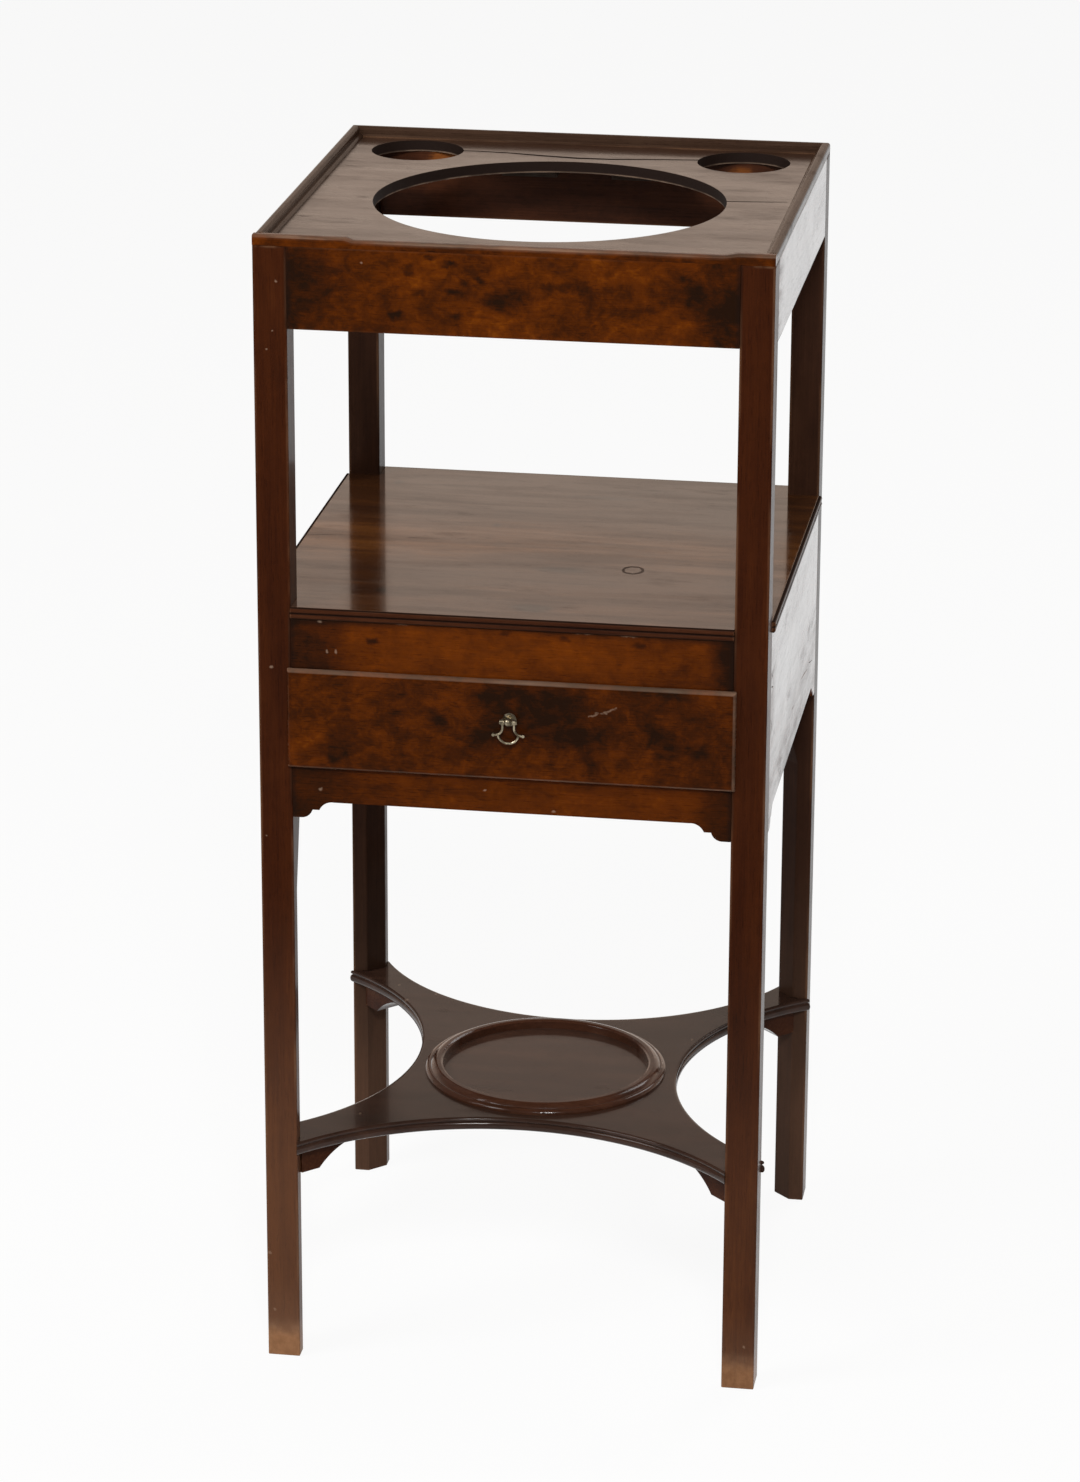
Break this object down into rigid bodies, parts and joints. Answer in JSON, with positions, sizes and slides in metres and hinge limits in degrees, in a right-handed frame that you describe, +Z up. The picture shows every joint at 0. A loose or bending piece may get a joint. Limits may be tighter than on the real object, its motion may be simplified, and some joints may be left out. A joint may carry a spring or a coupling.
{
  "type": "washstand",
  "caption": "Square open washstand: pierced top for a basin and cups, shelf over a lipped drawer with a brass bail handle, and a hollow-sided undertier with a ring for a jug.",
  "frame": {"origin": "on the floor, midway between the four feet", "axes": "+X to the right as seen from the front, +Y to the back, +Z up"},
  "size_m": [0.355, 0.3661, 0.822],
  "materials": {
    "leg_mahogany": "wax polished",
    "figured_mahogany": "polished",
    "side_mahogany": "polished",
    "top_mahogany": "polished, worn",
    "moulding_mahogany": "polished",
    "secondary_wood": "bare, aged",
    "brass": "worn and tarnished",
    "iron": "bare, dull"
  },
  "bodies": {
    "stand": {"bracket_nails": "iron", "case_back": "secondary_wood", "front_frieze": "figured_mahogany", "front_left_leg": "leg_mahogany", "front_left_undertier_bracket": "moulding_mahogany", "front_right_leg": "leg_mahogany", "front_right_undertier_bracket": "moulding_mahogany", "front_top_lip": "moulding_mahogany", "left_case_side": "side_mahogany", "left_drawer_guide": "secondary_wood", "left_drawer_kicker": "secondary_wood", "left_drawer_runner": "secondary_wood", "left_frieze": "side_mahogany", "left_top_bead": "moulding_mahogany", "lower_apron_rail": "figured_mahogany", "rear_frieze": "side_mahogany", "rear_left_leg": "leg_mahogany", "rear_left_undertier_bracket": "moulding_mahogany", "rear_right_leg": "leg_mahogany", "rear_right_undertier_bracket": "moulding_mahogany", "rear_top_bead": "moulding_mahogany", "right_case_side": "side_mahogany", "right_drawer_guide": "secondary_wood", "right_drawer_kicker": "secondary_wood", "right_drawer_runner": "secondary_wood", "right_frieze": "side_mahogany", "right_top_bead": "moulding_mahogany", "shelf_board": "top_mahogany", "shelf_front_moulding": "moulding_mahogany", "shelf_left_moulding": "moulding_mahogany", "shelf_right_moulding": "moulding_mahogany", "top_board": "top_mahogany", "top_glue_blocks": "secondary_wood", "undertier_board": "top_mahogany", "undertier_ring": "moulding_mahogany", "upper_drawer_rail": "figured_mahogany"},
    "drawer": {"drawer_front": "figured_mahogany", "drawer_left_side": "secondary_wood", "drawer_right_side": "secondary_wood", "drawer_back": "secondary_wood", "drawer_bottom": "secondary_wood", "drawer_bottom_nails": "iron", "handle_rosette": "brass", "handle_post": "brass", "handle_pin": "brass", "handle_nut": "brass"},
    "bail": {"handle_bail": "brass"}
  },
  "joints": [
    {"name": "drawer_slide", "type": "slide", "parent": "stand", "child": "drawer", "axis": [0, -1, 0], "range_m": [0, 0.2]},
    {"name": "bail_swing", "type": "hinge", "parent": "drawer", "child": "bail", "pos_m": [0, -0.1858, 0.4933], "axis": [-1, 0, 0], "range_deg": [-15, 150]}
  ]
}
